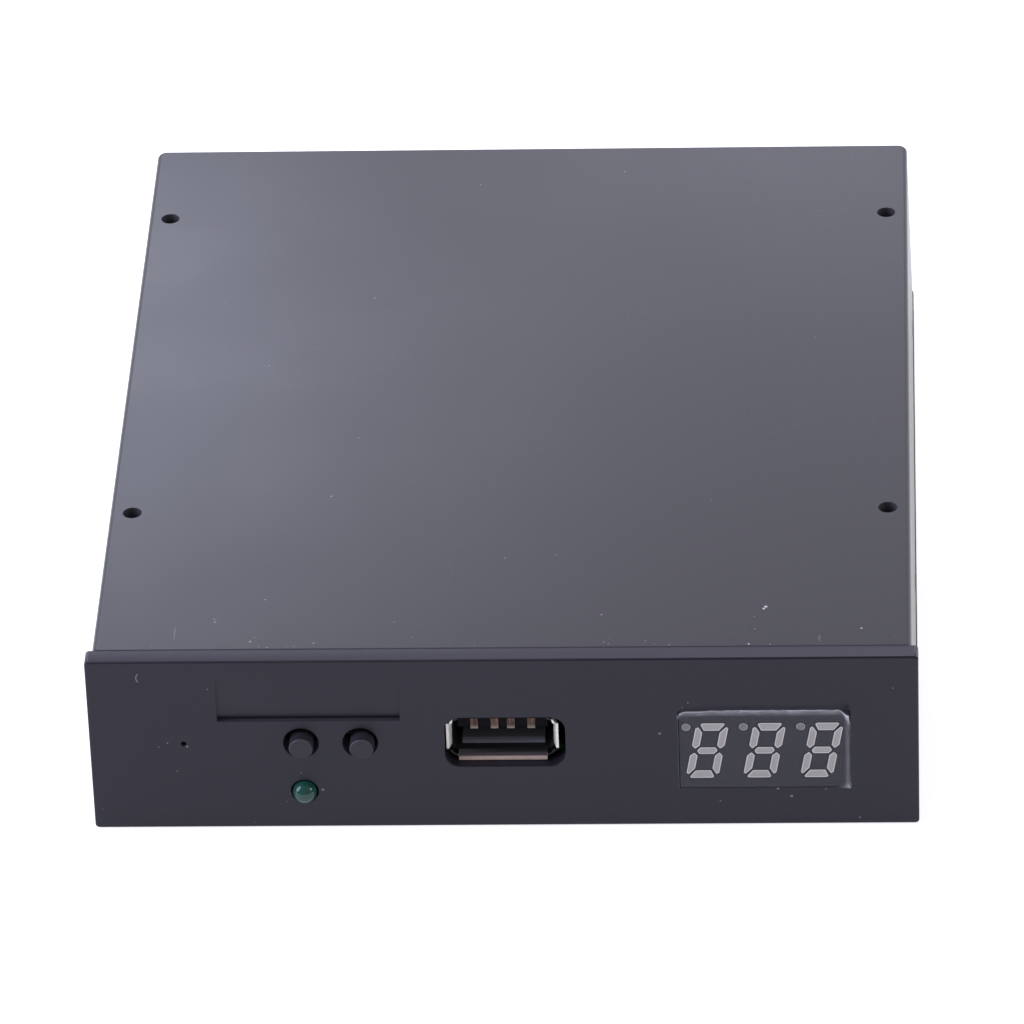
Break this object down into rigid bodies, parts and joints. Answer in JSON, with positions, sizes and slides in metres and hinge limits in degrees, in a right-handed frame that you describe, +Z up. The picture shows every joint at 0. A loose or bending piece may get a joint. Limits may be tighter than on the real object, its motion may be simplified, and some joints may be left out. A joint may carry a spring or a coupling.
{
  "type": "floppy drive emulator",
  "caption": "Slim drive-bay box with a USB socket, two push buttons, a signal lamp and a three-digit display on its face, and data, jumper and power headers at its rear.",
  "frame": {"origin": "centre of the flat bottom, halfway between the bezel's face and the rear wall", "axes": "+X to the right seen from the front, +Y from the front to the rear, +Z up"},
  "size_m": [0.1016, 0.1217, 0.0249],
  "materials": {
    "cover_plastic": "fine textured moulded ABS, dark grey, slightly dusty",
    "bezel_plastic": "fine textured moulded ABS, near black",
    "button_plastic": "moulded grey switch stem",
    "black_plastic": "black glass-filled connector plastic",
    "white_plastic": "natural nylon connector plastic",
    "lamp_resin": "tinted cast epoxy, glossy",
    "display_face": "dark grey display face under film",
    "segment_resin": "milky light bars, unlit",
    "clear_film": "thin clear protective film",
    "board_green": "green solder-masked glass epoxy board",
    "steel": "bright nickel-plated steel sheet",
    "screw_steel": "zinc-plated steel",
    "gilt": "gold-plated contact",
    "tinned": "tin-plated copper alloy",
    "chip_epoxy": "moulded black chip epoxy",
    "ceramic_tan": "ceramic chip capacitor",
    "ceramic_dark": "glazed chip resistor",
    "wire_sheath": "PVC wire sheath",
    "can_aluminium": "drawn aluminium can"
  },
  "bodies": {
    "case": {"board_screws": "screw_steel", "bottom_case": "cover_plastic", "cable_pins": "tinned", "cable_plug": "white_plastic", "cable_socket": "white_plastic", "capacitor_bases": "chip_epoxy", "chip_capacitors": "ceramic_tan", "chip_resistors": "ceramic_dark", "controller_chip": "chip_epoxy", "controller_leads": "tinned", "crystal": "can_aluminium", "data_header": "black_plastic", "data_pins": "gilt", "display_board": "board_green", "display_cable": "wire_sheath", "display_film": "clear_film", "display_housing": "display_face", "display_pins": "tinned", "display_segments": "segment_resin", "driver_chip": "chip_epoxy", "driver_leads": "tinned", "filter_capacitors": "can_aluminium", "front_bezel": "bezel_plastic", "jumper_header": "black_plastic", "jumper_pins": "gilt", "lamp_leads": "tinned", "main_board": "board_green", "power_header": "white_plastic", "power_pins": "tinned", "regulator": "chip_epoxy", "regulator_leads": "tinned", "service_header": "black_plastic", "service_pins": "gilt", "status_lamp": "lamp_resin", "switch_body_left": "black_plastic", "switch_body_right": "black_plastic", "switch_dome_left": "steel", "switch_dome_right": "steel", "switch_frame_left": "steel", "switch_frame_right": "steel", "switch_pins_left": "tinned", "switch_pins_right": "tinned", "top_cover": "cover_plastic", "usb_contacts": "gilt", "usb_insulator": "black_plastic", "usb_shell": "steel"},
    "button_left_body": {"button_left": "button_plastic"},
    "button_right_body": {"button_right": "button_plastic"},
    "jumper_1_body": {"jumper_cap_1": "black_plastic", "jumper_clip_1": "gilt"},
    "jumper_2_body": {"jumper_cap_2": "black_plastic", "jumper_clip_2": "gilt"}
  },
  "joints": [
    {"name": "button_left_press", "type": "slide", "parent": "case", "child": "button_left_body", "axis": [0, 1, 0], "range_m": [0, 0.00025], "stiffness_N_per_m": 6000, "springref_m": -0.00008, "deforming": ["switch_dome_left"]},
    {"name": "button_right_press", "type": "slide", "parent": "case", "child": "button_right_body", "axis": [0, 1, 0], "range_m": [0, 0.00025], "stiffness_N_per_m": 6000, "springref_m": -0.00008, "deforming": ["switch_dome_right"]},
    {"name": "jumper_1_pull", "type": "slide", "parent": "case", "child": "jumper_1_body", "axis": [0, 1, 0], "range_m": [0, 0.0055]},
    {"name": "jumper_2_pull", "type": "slide", "parent": "case", "child": "jumper_2_body", "axis": [0, 1, 0], "range_m": [0, 0.0055]}
  ]
}
